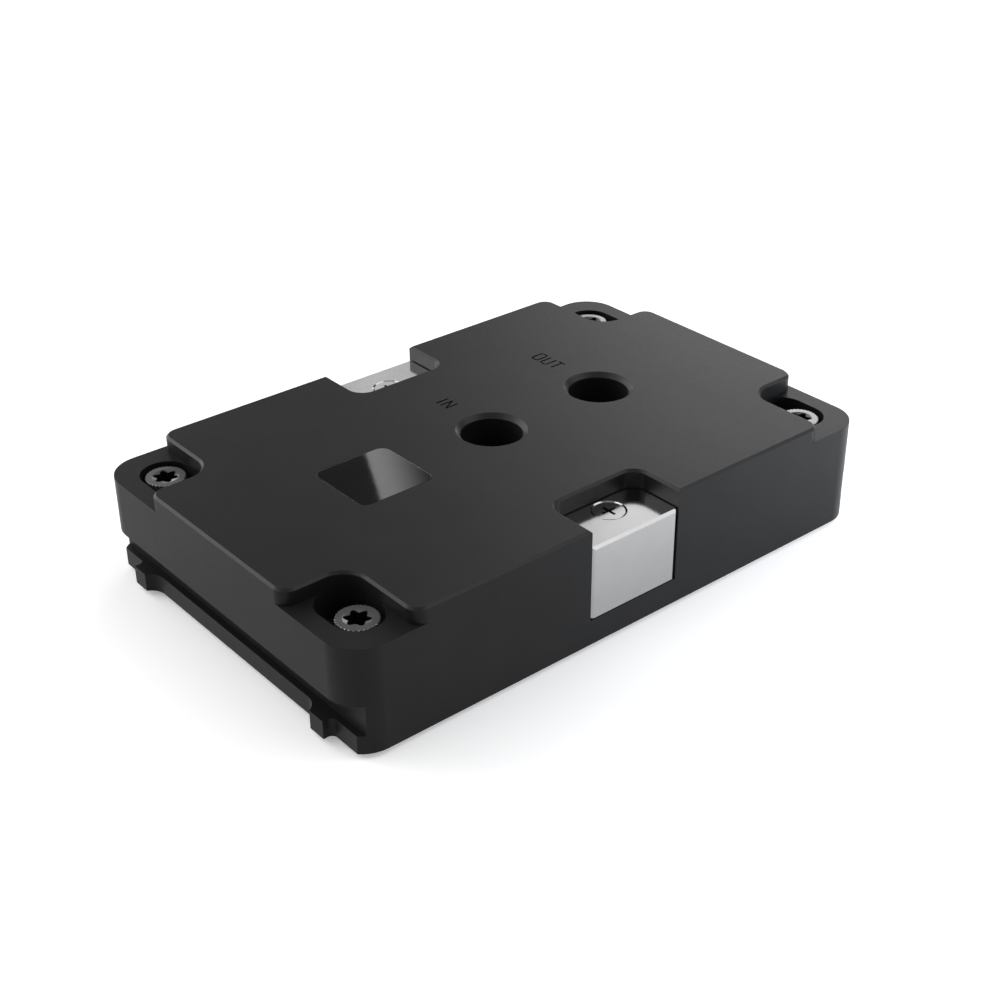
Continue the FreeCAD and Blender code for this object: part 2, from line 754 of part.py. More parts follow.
def make_mount_nut(doc, corner):
    """A long nut with a six-lobe recess in its head, threaded from its foot."""
    body = make_body(doc, f"mount_nut_{corner}", (*corner_place(corner), S.plate_proud + NUT_FOOT))
    shoulder = HEAD_TOP - S.nut_head_height - NUT_FOOT
    top = HEAD_TOP - NUT_FOOT
    turn_profile(
        body,
        [(S.nut_thread_radius, 0), (S.nut_shank_radius, 0), (S.nut_shank_radius, shoulder),
         (S.nut_head_radius, shoulder), (S.nut_head_radius, top), (0, top),
         (0, S.nut_thread_depth), (S.nut_thread_radius, S.nut_thread_depth)],
        "blank",
    )
    drive = make_sketch(body, "drive_outline", top)
    draw_star(drive, S.nut_drive_radius, S.nut_drive_waist, NUT_LOBES)
    pocket(body, drive, S.nut_drive_depth, "drive")
    return body


def corner_place(corner):
    side_x, side_y = CORNERS[corner]
    return side_x * MOUNT_X, side_y * MOUNT_Y


def make_mount_washer(doc, corner):
    """A plain washer on the well's floor, under the nut's head."""
    body = make_body(doc, f"mount_washer_{corner}", (*corner_place(corner), S.plate_proud + WELL_FLOOR))
    ring = make_sketch(body, "washer_outline")
    draw_circle(ring, 0, 0, S.washer_radius)
    draw_circle(ring, 0, 0, NUT_HOLE_RADIUS)
    pad(body, ring, S.washer_thickness, "washer")
    return body


def make_retaining_ring(doc, corner):
    """A ring pushed onto the nut's shank below the block, which keeps the nut in its hole."""
    body = make_body(doc, f"retaining_ring_{corner}", (*corner_place(corner), S.plate_proud + RING_FLOOR))
    ring = make_sketch(body, "ring_outline")
    draw_circle(ring, 0, 0, S.ring_radius)
    draw_circle(ring, 0, 0, S.nut_shank_radius)
    pad(body, ring, S.ring_thickness, "ring")
    return body


def make_badge_plate(doc):
    """The glossy inlay, flush with the top face."""
    height = S.plate_proud + S.block_height - S.badge_thickness
    body = make_body(doc, "badge_plate", (-S.port_spacing, 0, height))
    outline = make_sketch(body, "badge_outline")
    gap = 2 * S.badge_gap
    draw_rectangle(outline, as_size(0), as_size(0), S.badge_length - gap, S.badge_width - gap,
                   S.badge_radius - S.badge_gap)
    pad(body, outline, S.badge_thickness, "badge")
    return body


def make_plate_screws(doc):
    """The screws that hold the cold plate, heads down, as separate solids."""
    pattern = make_screw(doc, "plate_screw", S.plate_screw_length)
    copies = []
    for x, y in plate_screw_places():
        copy = pattern.Shape.copy()
        copy.translate(FreeCAD.Vector(x.value, y.value, SCREW_DROP.value))
        copies.append(copy)
    group = doc.addObject("Part::Feature", "cold_plate_screws")
    group.Label = "cold_plate_screws"
    group.Shape = Part.makeCompound(copies)
    return group


def make_parts(doc):
    parts = [make_housing(doc), make_cold_plate(doc), make_jet_plate(doc), make_main_seal(doc)]
    parts.append(make_plate_screws(doc))
    for end, rotation in (("front", UPRIGHT), ("rear", TURNED_ROUND)):
        parts.append(make_bracket(doc, end, rotation))
        parts.append(make_bracket_screw(doc, end))
    parts.append(make_badge_plate(doc))
    for corner in CORNERS:
        parts.append(make_mount_nut(doc, corner))
        parts.append(make_mount_washer(doc, corner))
        parts.append(make_retaining_ring(doc, corner))
    return parts


def check(doc, parts):
    """Stop before anything is written if an object or a shape is bad."""
    for item in doc.Objects:
        if "Invalid" in item.State or "Error" in item.State:
            raise RuntimeError(f"{item.Label} failed: {item.State}")
    for part in parts:
        if part.Shape.isNull() or not part.Shape.isValid() or not part.Shape.Solids:
            raise RuntimeError(f"{part.Label} has no valid solid")


def main():
    parts = make_parts(DOC)
    DOC.recompute()
    check(DOC, parts)
    os.makedirs("parts", exist_ok=True)
    for part in parts:
        part.Shape.exportStep(f"parts/{part.Label}.step")


main()
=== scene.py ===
"""The looks of the water block: finishes, lettering, knurled nuts, screws, light and camera."""
import math

import bmesh
import bpy
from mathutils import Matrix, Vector


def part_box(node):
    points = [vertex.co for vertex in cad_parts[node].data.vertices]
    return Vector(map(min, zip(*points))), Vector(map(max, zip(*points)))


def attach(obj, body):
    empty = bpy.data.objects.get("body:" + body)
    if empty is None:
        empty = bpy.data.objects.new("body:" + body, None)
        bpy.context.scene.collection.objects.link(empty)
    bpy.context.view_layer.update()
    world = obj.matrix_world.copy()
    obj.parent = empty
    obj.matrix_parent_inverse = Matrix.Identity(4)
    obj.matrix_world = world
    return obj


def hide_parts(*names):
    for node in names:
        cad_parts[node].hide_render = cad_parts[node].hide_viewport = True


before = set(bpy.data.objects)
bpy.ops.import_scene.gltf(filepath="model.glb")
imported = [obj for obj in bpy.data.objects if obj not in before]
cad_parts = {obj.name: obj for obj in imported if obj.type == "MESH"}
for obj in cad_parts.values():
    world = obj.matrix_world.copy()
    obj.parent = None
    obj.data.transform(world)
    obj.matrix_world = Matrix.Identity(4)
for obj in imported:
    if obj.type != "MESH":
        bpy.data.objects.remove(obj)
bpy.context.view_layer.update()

MM = 0.001
TINY = 1e-6
WHITE = (1, 1, 1, 1)
BODY = "root"

CORNERS = ("front_left", "front_right", "rear_left", "rear_right")
SIDES = ("front", "rear")

# Lettering: its strokes, then each word's port along X and where its letters start, towards -Y
LETTER_DEPTH = 0.16 * MM
LETTER_STROKE = 0.36 * MM
LETTER_HEIGHT = 2.9 * MM
LETTER_WIDTH = 1.6 * MM
LETTER_ROUNDING = 0.5 * MM
LETTER_STEPS = 6                # straight pieces in a rounded corner
LETTER_BASE = -1.25 * MM        # a letter's foot, along X from its port's middle
LETTER_BAR = 0.1 * MM           # how far the bar of a T reaches past a letter's width
CUTTER_RISE = 1.0 * MM          # how far the letters' cutter stands over the face
PORT_SPACING = 26.4 * MM
WORDS = (
    (0.0, {"I": -14.65 * MM, "N": -13.45 * MM}),
    (PORT_SPACING, {"O": -18.0 * MM, "U": -15.4 * MM, "T": -13.0 * MM}),
)

# The small flat that closes a turned piece in its middle
CAP_RADIUS = 0.3 * MM

# Mount nut, from its foot up
NUT_SEGMENTS = 384
NUT_SHARP_ANGLE = math.radians(8)
NUT_SHANK_RADIUS = 2.9 * MM
NUT_FOOT_BEVEL = 0.25 * MM
NUT_BORE_RADIUS = 1.65 * MM
NUT_BORE_DEPTH = 9.0 * MM
NUT_MOUTH_DEPTH = 0.3 * MM
NUT_HEAD_HEIGHT = 4.0 * MM
NUT_HEAD_BEVEL = 0.3 * MM
NUT_RIM_BEVEL = 0.1 * MM
NUT_TEETH = 32
NUT_TOOTH_DEPTH = 0.14 * MM
NUT_TOOTH_POWER = 1.5           # over one, so that the tips of the teeth are round
NUT_TOOTH_FOOT = 0.12 * MM      # how high over the shoulder the teeth start

# The nut's drive: its lobes and waists, its lead, and how far lobes and waists draw in (below the lead,
# above the floor and at the floor)
NUT_LOBES = 6
NUT_LOBE_TURN = math.radians(15)
NUT_LOBE_RADIUS = 2.32 * MM
NUT_WAIST_RADIUS = 1.58 * MM
NUT_LEAD_RADIUS = 2.4 * MM
NUT_LEAD_DEPTH = 0.13 * MM
NUT_LEAD_EDGE = 0.05 * MM
NUT_DRIVE_DEPTH = 3.2 * MM
NUT_DRIVE_BEVEL = 0.1 * MM
NUT_DRIVE_TAPER = ((0.04 * MM, 0.02 * MM), (0.08 * MM, 0.06 * MM), (0.2 * MM, 0.16 * MM))
NUT_DRIVE_POINT = (0.5 * MM, 0.15 * MM)     # radius, and depth under the floor

# Countersunk screws
SCREW_SEGMENTS = 240
SCREW_HEAD_RADIUS = 2.9 * MM
SCREW_SHANK_RADIUS = 1.5 * MM
SCREW_TIP_BEVEL = 0.3 * MM
SCREW_HEAD_RIM = 0.2 * MM
SCREW_RIM_BEVEL = 0.05 * MM
SCREW_CROSS_SPAN = 3.1 * MM
SCREW_CROSS_WIDTH = 0.56 * MM
SCREW_CROSS_DEPTH = 1.5 * MM
SCREW_CROSS_FLOOR = 0.8         # the share of its depth to which the cross keeps its arms
SCREW_CROSS_TAPER = 0.6
SCREW_POINT_RADIUS = 0.06 * MM

# Edges: sharp from this angle on, and joined where points are this close
SHARP_ANGLE = math.radians(30)
WELD = 0.0005 * MM

# Housing: which faces take the painted highlight of the bevels and the pocket finish, by the upward part of
# their normals
BEVEL_SLOPE = (0.5, 0.9)
WALL_SLOPE = 0.5
POCKET_MARGIN = 1.0 * MM        # how far round a bracket its pocket's walls are looked for
POCKET_INSET = 0.2 * MM         # the outer faces stay as they are up to this depth

# Colours: each finish runs between two shades
DEEP_BLACK = ((0.0115, 0.0116, 0.012), (0.0135, 0.0136, 0.014))
# painted highlight: a lighter black for the bevels that face upwards
BEVEL_HIGHLIGHT_BLACK = ((0.016, 0.0161, 0.0165), (0.018, 0.0181, 0.0185))
ENGRAVED = ((0.004, 0.004, 0.004), (0.007, 0.007, 0.007))
# painted shade: near black for the insides of drives and crosses
RECESS_SHADE = ((0.003, 0.003, 0.003), (0.005, 0.005, 0.005))
RUBBER = ((0.02, 0.02, 0.02), (0.03, 0.03, 0.03))
POLISHED = ((0.008, 0.008, 0.009), (0.01, 0.01, 0.011))
NICKEL = ((0.66, 0.63, 0.58), (0.74, 0.71, 0.66))
BRIGHT_METAL = ((0.36, 0.36, 0.364), (0.375, 0.375, 0.379))
DARK_METAL = ((0.16, 0.16, 0.165), (0.175, 0.175, 0.18))
SPRING_METAL = ((0.48, 0.48, 0.49), (0.55, 0.55, 0.56))
FLOOR_WHITE = ((0.93, 0.93, 0.93), (0.94, 0.94, 0.94))

# Acetals: shades, range of roughness and how shiny
ACETALS = {
    "black_acetal": (DEEP_BLACK, (0.38, 0.44), 0.1),
    # the upward bevels: lighter than the face as a painted highlight, and glossier
    "bevel_highlight_acetal": (BEVEL_HIGHLIGHT_BLACK, (0.34, 0.4), 0.2),
    "pocket_acetal": (DEEP_BLACK, (0.28, 0.34), 0.4),
}

# Steels: shades, range of roughness, how bare the metal is, and the grain and depth of the surface
STEELS = {
    "screw_steel": (BRIGHT_METAL, (0.1, 0.14), 1.0, 0.12 * MM, 0.0003 * MM),
    "nut_steel": (DARK_METAL, (0.14, 0.18), 0.5, 0.15 * MM, 0.0002 * MM),
    "spring_steel": (SPRING_METAL, (0.22, 0.32), 1.0, 0.15 * MM, 0.001 * MM),
}

# Noises run between these values over most of a surface
NOISE_RANGE = (0.3, 0.7)

# Floor
FLOOR_REACH = 8.0
FLOOR_GRAIN = 0.5
FLOOR_GLOW = 0.3

# Camera: place, turn in degrees and lens in millimetres
CAMERA_PLACE = Vector((-168.467, -204.226, 164.168)) * MM
CAMERA_TURN = (59.6204, 0.3005, -40.0071)
CAMERA_LENS = 59.42
CAMERA_SENSOR = 36.0
CAMERA_NEAR = 0.01

# Soft windows of light around the object: azimuth and elevation (from, to, and the soft edge at each end,
# all in degrees), radiance, and how far the upright edges lean, around the elevation LEAN_MIDDLE
WINDOWS = {
    "overhead": ((-181, 181, 0, 0), (60, 91, 12, 0), 0.8, 0.0),
    "upper_left": ((80, 179, 12, 12), (40, 60, 6, 6), 2.2, 0.0),
    "upper_right": ((-75, 0, 12, 12), (30, 60, 4, 6), 1.9, 0.0),
    "softbox": ((18, 47, 5, 5), (2, 27, 5, 4), 4.45, 0.0),
    "softbox_top": ((26, 48, 5, 2.5), (27, 38, 4, 4), 1.5, 0.0),
    "strip": ((54.0, 55.35, 1.2, 0.08), (27.4, 31.0, 0.6, 0.8), 1.9, -0.31),
    "shelf": ((50.5, 61.5, 3, 3), (22, 27.7, 3, 0.5), 1.15, 0.0),
    "back": ((64, 95, 4, 4), (3, 27, 5, 5), 1.65, 0.0),
    "back_left": ((98, 140, 10, 10), (3, 38, 5, 5), 3.9, 0.0),
    "left": ((146, 178, 8, 8), (3, 38, 5, 5), 0.5, 0.0),
    "front_left": ((-175, -90, 10, 10), (3, 28, 5, 5), 0.4, 0.0),
}
LEAN_MIDDLE = 29.0
AMBIENT = 0.06

# White backdrop: seen directly at any height, and in gloss or through glass up to this elevation (degrees)
BACKDROP_TOP = 8.0
BACKDROP_SOFT = 5.0
BACKDROP_GLOW = 1.0

# Low lamps beside the object: place, size, power and colour
LAMPS = {
    "near_right": (Vector((128, -118, 28)) * MM, (120 * MM, 40 * MM), 0.26, (0.94, 0.98, 1.06)),
}
LAMP_AIM = Vector((25, -38, 10)) * MM


def add_node(tree, kind, inputs=None, **settings):
    """A node with its settings, and its inputs as plain values or another node's outputs."""
    node = tree.nodes.new(kind)
    for name, value in settings.items():
        setattr(node, name, value)
    for name, value in (inputs or {}).items():
        if isinstance(value, bpy.types.NodeSocket):
            tree.links.new(value, node.inputs[name])
        else:
            node.inputs[name].default_value = value
    return node


def compute(tree, operation, *values):
    """The output of a math node."""
    inputs = {number: value for number, value in enumerate(values)}
    return add_node(tree, "ShaderNodeMath", inputs, operation=operation).outputs[0]


def noise(tree, place, grain, detail=2.0, stretch=(1, 1, 1)):
    """A noise between 0 and 1 whose grain is a length, stretched by a factor along each axis."""
    scale = [1 / (grain * factor) for factor in stretch]
    mapped = add_node(tree, "ShaderNodeMapping", {"Vector": place, "Scale": scale}).outputs["Vector"]
    inputs = {"Vector": mapped, "Scale": 1.0, "Detail": detail}
    return add_node(tree, "ShaderNodeTexNoise", inputs).outputs["Fac"]


def new_material(name, shades, grain, detail=2.0):
    """A material whose colour runs between two shades, with its tree, shader and object coordinates."""
    material = bpy.data.materials.new(name)
    material.use_nodes = True
    tree = material.node_tree
    shader = tree.nodes["Principled BSDF"]
    place = add_node(tree, "ShaderNodeTexCoord").outputs["Object"]
    ramp = add_node(tree, "ShaderNodeValToRGB", {"Fac": noise(tree, place, grain, detail)})
    for stop, position, shade in zip(ramp.color_ramp.elements, NOISE_RANGE, shades):
        stop.position = position
        stop.color = (*shade, 1)
    tree.links.new(ramp.outputs["Color"], shader.inputs["Base Color"])
    return material, tree, shader, place


def vary_roughness(tree, shader, fraction, low, high):
    """A roughness that runs from low to high with a noise."""
    start, end = NOISE_RANGE
    varied = add_node(tree, "ShaderNodeMapRange", {
        "Value": fraction, "From Min": start, "From Max": end, "To Min": low, "To Max": high,
    })
    tree.links.new(varied.outputs["Result"], shader.inputs["Roughness"])


def roughen(tree, shader, height, depth, edge=0.0):
    """A bump of a real depth on the shader, over edges rounded by a small radius."""
    inputs = {"Height": height, "Distance": depth, "Strength": 1.0}
    if edge:
        inputs["Normal"] = add_node(tree, "ShaderNodeBevel", {"Radius": edge}, samples=6).outputs["Normal"]
    bump = add_node(tree, "ShaderNodeBump", inputs)
    tree.links.new(bump.outputs["Normal"], shader.inputs["Normal"])


def make_acetal(name):
    """Acetal from a fine mill, in one of its finishes."""
    shades, roughness, gloss = ACETALS[name]
    material, tree, shader, place = new_material(name, shades, grain=9 * MM, detail=3.0)
    vary_roughness(tree, shader, noise(tree, place, grain=0.5 * MM), *roughness)
    shader.inputs["Specular IOR Level"].default_value = gloss
    roughen(tree, shader, noise(tree, place, grain=0.16 * MM), depth=0.0006 * MM, edge=0.06 * MM)
    return material


def make_engraving():
    """The floor of the engraved letters: rough and darker than the face."""
    material, _, shader, _ = new_material("engraved_acetal", ENGRAVED, grain=0.1 * MM)
    shader.inputs["Roughness"].default_value = 0.8
    shader.inputs["Specular IOR Level"].default_value = 0.05
    return material


def make_aluminium():
    """Aluminium with a fine blasted and clear anodised skin."""
    name = "bracket_aluminium"
    material, tree, shader, place = new_material(name, BRIGHT_METAL, grain=3 * MM, detail=3.0)
    shader.inputs["Metallic"].default_value = 1.0
    vary_roughness(tree, shader, noise(tree, place, grain=0.4 * MM), low=0.1, high=0.14)
    roughen(tree, shader, noise(tree, place, grain=0.12 * MM), depth=0.0003 * MM, edge=0.02 * MM)
    return material


def make_steel(name):
    """A plain steel, in one of its finishes."""
    shades, roughness, metallic, grain, depth = STEELS[name]
    material, tree, shader, place = new_material(name, shades, grain=1.5 * MM, detail=3.0)
    shader.inputs["Metallic"].default_value = metallic
    vary_roughness(tree, shader, noise(tree, place, grain=0.3 * MM), *roughness)
    roughen(tree, shader, noise(tree, place, grain), depth)
    return material


def make_recess_shade():
    """Painted shade: the near-black inside of a drive or a cross."""
    material, _, shader, _ = new_material("drive_recess_shade", RECESS_SHADE, grain=0.3 * MM)
    shader.inputs["Roughness"].default_value = 0.4
    shader.inputs["Specular IOR Level"].default_value = 0.2
    return material


def make_nickel():
    """Nickel plating on lapped copper, with fine marks along X."""
    material, tree, shader, place = new_material("nickel_plate", NICKEL, grain=12 * MM, detail=3.0)
    marks = noise(tree, place, grain=0.12 * MM, detail=3.0, stretch=(60, 1, 1))
    shader.inputs["Metallic"].default_value = 1.0
    vary_roughness(tree, shader, marks, low=0.18, high=0.3)
    roughen(tree, shader, marks, depth=0.001 * MM, edge=0.08 * MM)
    return material


def make_rubber():
    """Smooth black rubber."""
    material, tree, shader, place = new_material("seal_rubber", RUBBER, grain=2 * MM)
    vary_roughness(tree, shader, noise(tree, place, grain=0.4 * MM), low=0.45, high=0.6)
    return material


def make_gloss():
    """A polished black inlay, with a trace of waviness."""
    material, tree, shader, place = new_material("gloss_black", POLISHED, grain=6 * MM)
    vary_roughness(tree, shader, noise(tree, place, grain=1.0 * MM), low=0.02, high=0.035)
    shader.inputs["Specular IOR Level"].default_value = 0.5
    waves = noise(tree, place, grain=5 * MM, detail=1.0)
    roughen(tree, shader, waves, depth=0.001 * MM, edge=0.08 * MM)
    return material


def finish(piece, slot, *materials):
    """Give a piece its materials, by each face's own number. The slot is not used."""
    numbers = [face.material_index for face in piece.data.polygons]
    piece.data.materials.clear()
    for material in materials:
        piece.data.materials.append(material)
    if len(materials) > 1:
        piece.data.polygons.foreach_set("material_index", numbers)


def smooth(piece, sharp=SHARP_ANGLE):
    """Smooth shading, with level flat faces and with edges sharp where faces meet at more than an angle."""
    mesh = piece.data
    if "custom_normal" in mesh.attributes:
        mesh.attributes.remove(mesh.attributes["custom_normal"])
    mesh.polygons.foreach_set("use_smooth", [True] * len(mesh.polygons))
    mesh.set_sharp_from_angle(angle=sharp)
    even = piece.modifiers.new("even_faces", "WEIGHTED_NORMAL")
    even.weight = 100
    even.keep_sharp = True


def new_mesh(name, shape):
    """A mesh from a bmesh, with its faces turned outwards."""
    bmesh.ops.recalc_face_normals(shape, faces=shape.faces)
    mesh = bpy.data.meshes.new(name)
    shape.to_mesh(mesh)
    shape.free()
    return mesh


def new_object(name, data):
    """An object in the scene."""
    made = bpy.data.objects.new(name, data)
    bpy.context.scene.collection.objects.link(made)
    return made


def new_piece(name, shape, materials, slot, replaced, sharp=SHARP_ANGLE):
    """A piece made from a bmesh, which rides on the body and stands for a CAD node."""
    piece = new_object(name, new_mesh(name, shape))
    smooth(piece, sharp)
    finish(piece, slot, *materials)
    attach(piece, BODY)
    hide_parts(replaced)
    return piece


def centre_of(node):
    """The middle of a node's box in plan."""
    low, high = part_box(node)
    return Vector(((low.x + high.x) / 2, (low.y + high.y) / 2, 0))


def at_angle(value, angle):
    """A value that may depend on the angle."""
    return value(angle) if callable(value) else value


def add_turned(shape, centre, rings, segments, upward=1, dark_rings=0):
    """Add a closed round form of rings (radius, height), each of which may depend on the angle.

    The faces between the last rings, as many as dark_rings says, take the second material."""
    loops = []
    for radius, height in rings:
        loop = []
        for step in range(segments):
            angle = 2 * math.pi * step / segments
            reach = at_angle(radius, angle)
            rise = at_angle(height, angle)
            place = Vector((reach * math.cos(angle), upward * reach * math.sin(angle), upward * rise))
            loop.append(shape.verts.new(centre + place))
        loops.append(loop)
    for row, (below, above) in enumerate(zip(loops, loops[1:])):
        dark = row >= len(loops) - 1 - dark_rings
        for i in range(segments):
            j = (i + 1) % segments
            shape.faces.new((below[i], below[j], above[j], above[i])).material_index = int(dark)
    shape.faces.new(reversed(loops[0]))
    shape.faces.new(loops[-1]).material_index = int(dark_rings > 0)


def knurl(outer):
    """A radius with straight rounded teeth around it."""
    def radius(angle):
        return outer - NUT_TOOTH_DEPTH * abs(math.sin(angle * NUT_TEETH / 2)) ** NUT_TOOTH_POWER
    return radius


def lobes(outer, waist):
    """A radius with six round lobes."""
    def radius(angle):
        wave = math.cos(NUT_LOBES * (angle - NUT_LOBE_TURN))
        return (outer + waist) / 2 + (outer - waist) / 2 * wave
    return radius


def nut_body_rings(foot, top, head):
    """The rings of a nut from the end of its bore, around its foot and up to the lead of its drive."""
    shoulder = top - NUT_HEAD_HEIGHT
    bore_top = foot + NUT_BORE_DEPTH
    return [
        (CAP_RADIUS, bore_top),
        (NUT_BORE_RADIUS, bore_top),
        (NUT_BORE_RADIUS, foot + NUT_MOUTH_DEPTH),
        (NUT_BORE_RADIUS + NUT_FOOT_BEVEL, foot),
        (NUT_SHANK_RADIUS - NUT_FOOT_BEVEL, foot),
        (NUT_SHANK_RADIUS, foot + NUT_FOOT_BEVEL),
        (NUT_SHANK_RADIUS, shoulder),
        (head - NUT_HEAD_BEVEL, shoulder),
        (head - NUT_HEAD_BEVEL + NUT_TOOTH_FOOT, shoulder + NUT_TOOTH_FOOT),
        (knurl(head), shoulder + NUT_HEAD_BEVEL),
        (knurl(head), top - NUT_RIM_BEVEL),
        (knurl(head - NUT_RIM_BEVEL), top),
        (NUT_LEAD_RADIUS, top),
    ]


def nut_drive_rings(top):
    """The rings of a nut's six-lobe drive, from the foot of its lead down to its floor."""
    drive = lobes(NUT_LOBE_RADIUS, NUT_WAIST_RADIUS)
    lead_width = NUT_LEAD_RADIUS - NUT_WAIST_RADIUS

    def lead(angle):
        return top - NUT_LEAD_DEPTH * (NUT_LEAD_RADIUS - drive(angle)) / lead_width

    floor = top - NUT_DRIVE_DEPTH
    rings = [(drive, lead)]
    heights = (top - NUT_LEAD_DEPTH - NUT_LEAD_EDGE, floor + NUT_DRIVE_BEVEL, floor)
    for (lobe, waist), height in zip(NUT_DRIVE_TAPER, heights):
        rings.append((lobes(NUT_LOBE_RADIUS - lobe, NUT_WAIST_RADIUS - waist), height))
    point_radius, point_depth = NUT_DRIVE_POINT
    rings.append((point_radius, floor - point_depth))
    return rings


def make_nut(corner, material, dark):
    """A captive nut: bored foot, plain shank, knurled head and six-lobe drive."""
    node = f"mount_nut_{corner}"
    low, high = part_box(node)
    rings = nut_body_rings(low.z, high.z, (high.x - low.x) / 2) + nut_drive_rings(high.z)
    shape = bmesh.new()
    # the faces inside the drive take the painted shade
    add_turned(shape, centre_of(node), rings, NUT_SEGMENTS, dark_rings=3)
    name = f"knurled_nut_{corner}"
    new_piece(name, shape, (material, dark), "nut_steel", node, sharp=NUT_SHARP_ANGLE)


def cross(span, width):
    """A radius that follows a cross with straight arms."""
    def radius(angle):
        turn = abs((angle + math.pi / 4) % (math.pi / 2) - math.pi / 4)
        end = span / 2 / math.cos(turn)
        side = width / 2 / max(math.sin(turn), TINY)
        return min(end, side)
    return radius


def screw_rings(length):
    """The rings of a countersunk screw with the foot of its head's rim at zero and its tip below."""
    cone = SCREW_HEAD_RADIUS - SCREW_SHANK_RADIUS
    small_span = SCREW_CROSS_SPAN * SCREW_CROSS_TAPER
    small_width = SCREW_CROSS_WIDTH * SCREW_CROSS_TAPER
    return [
        (CAP_RADIUS, -length),
        (SCREW_SHANK_RADIUS - SCREW_TIP_BEVEL, -length),
        (SCREW_SHANK_RADIUS, SCREW_TIP_BEVEL - length),
        (SCREW_SHANK_RADIUS, -cone),
        (SCREW_HEAD_RADIUS, 0),
        (SCREW_HEAD_RADIUS, SCREW_HEAD_RIM - SCREW_RIM_BEVEL),
        (SCREW_HEAD_RADIUS - SCREW_RIM_BEVEL, SCREW_HEAD_RIM),
        (cross(SCREW_CROSS_SPAN, SCREW_CROSS_WIDTH), SCREW_HEAD_RIM),
        (cross(small_span, small_width), -SCREW_CROSS_FLOOR * SCREW_CROSS_DEPTH),
        (SCREW_POINT_RADIUS, -SCREW_CROSS_DEPTH),
    ]


def make_bracket_screw(side, material, dark):
    """The countersunk screw of a bracket, with a cross recess."""
    node = f"{side}_bracket_screw"
    low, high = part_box(node)
    shape = bmesh.new()
    centre = centre_of(node) + Vector((0, 0, high.z))
    # the faces inside the cross take the painted shade
    add_turned(shape, centre, screw_rings(high.z - low.z), SCREW_SEGMENTS, dark_rings=2)
    new_piece(f"{side}_cross_screw", shape, (material, dark), "screw_steel", node)


def make_plate_screws(material, dark):
    """The countersunk screws of the cold plate, heads down, one in each place of the CAD group."""
    node = "cold_plate_screws"
    low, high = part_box(node)
    reach_x = (high.x - low.x) / 2 - SCREW_HEAD_RADIUS
    reach_y = (high.y - low.y) / 2 - SCREW_HEAD_RADIUS
    middle = centre_of(node)
    shape = bmesh.new()
    for side_x in (-1, 0, 1):
        for side_y in (-1, 1):
            centre = middle + Vector((side_x * reach_x, side_y * reach_y, low.z))
            add_turned(shape, centre, screw_rings(high.z - low.z), SCREW_SEGMENTS, upward=-1, dark_rings=2)
    new_piece("cross_screws_below", shape, (material, dark), "screw_steel", node)


def straight(*points):
    """An open stroke through points, as (path, closed)."""
    return [Vector(point) for point in points], False


def rounded(*corners, closed=False):
    """A stroke through corners, where each corner but an open end is rounded, as (path, closed)."""
    path = []
    for i, corner in enumerate(corners):
        if not closed and i in (0, len(corners) - 1):
            path.append(Vector(corner))
            continue
        point = Vector(corner)
        before = (Vector(corners[i - 1]) - point).normalized() * LETTER_ROUNDING
        after = (Vector(corners[(i + 1) % len(corners)]) - point).normalized() * LETTER_ROUNDING
        for step in range(LETTER_STEPS + 1):
            turn = step / LETTER_STEPS * math.pi / 2
            path.append(point + before * (1 - math.sin(turn)) + after * (1 - math.cos(turn)))
    return path, closed


def letter_strokes(letter):
    """The strokes of a letter, with its lower left corner at zero."""
    width, height = LETTER_WIDTH, LETTER_HEIGHT
    if letter == "I":
        return [straight((0, 0), (0, height))]
    if letter == "N":
        return [straight((0, 0), (0, height)),
                straight((width, 0), (width, height)),
                straight((0, height), (width, 0))]
    if letter == "O":
        return [rounded((0, 0), (width, 0), (width, height), (0, height), closed=True)]
    if letter == "U":
        return [rounded((0, height), (0, 0), (width, 0), (width, height))]
    middle = width / 2
    return [straight((-LETTER_BAR, height), (width + LETTER_BAR, height)),
            straight((middle, 0), (middle, height))]


def add_stroke(shape, base, start, path, closed, heights):
    """Add a closed prism along a path, as wide as a stroke, between two heights.

    The letter's lower left corner is base along X and start towards -Y."""
    count = len(path)
    columns = []
    for i, point in enumerate(path):
        before = path[i - 1] if closed or i else point
        after = path[(i + 1) % count] if closed or i < count - 1 else point
        along = (after - before).normalized()
        across = Vector((-along.y, along.x)) * LETTER_STROKE / 2
        column = []
        for side in (-1, 1):
            for height in heights:
                flat = point + side * across
                column.append(shape.verts.new((base + flat.y, -(start + flat.x), height)))
        columns.append(column)
    pairs = list(zip(columns, columns[1:]))
    if closed:
        pairs.append((columns[-1], columns[0]))
    else:
        for end in (columns[0], columns[-1]):
            shape.faces.new((end[0], end[1], end[3], end[2]))
    for here, there in pairs:
        for a, b in ((0, 1), (1, 3), (3, 2), (2, 0)):
            shape.faces.new((here[a], here[b], there[b], there[a]))


def make_letters(top):
    """The cutter for both words: they read towards -Y, and their tops point to +X."""
    shape = bmesh.new()
    heights = (top - LETTER_DEPTH, top + CUTTER_RISE)
    for port, starts in WORDS:
        for letter, start in starts.items():
            for path, closed in letter_strokes(letter):
                add_stroke(shape, port + LETTER_BASE, start, path, closed, heights)
    return new_mesh("letter_cutter", shape)


def engrave(piece, top, engraving):
    """Cut the words into a piece, for good."""
    cutter = new_object("letter_cutter", make_letters(top))
    cutter.data.materials.append(engraving)
    cut = piece.modifiers.new("letters", "BOOLEAN")
    cut.object = cutter
    cut.solver = "EXACT"
    cut.use_self = True
    cut.material_mode = "TRANSFER"
    view = bpy.context.view_layer.depsgraph
    view.update()
    carved = bpy.data.meshes.new_from_object(piece.evaluated_get(view))
    piece.modifiers.clear()
    piece.data = carved
    bpy.data.objects.remove(cutter)


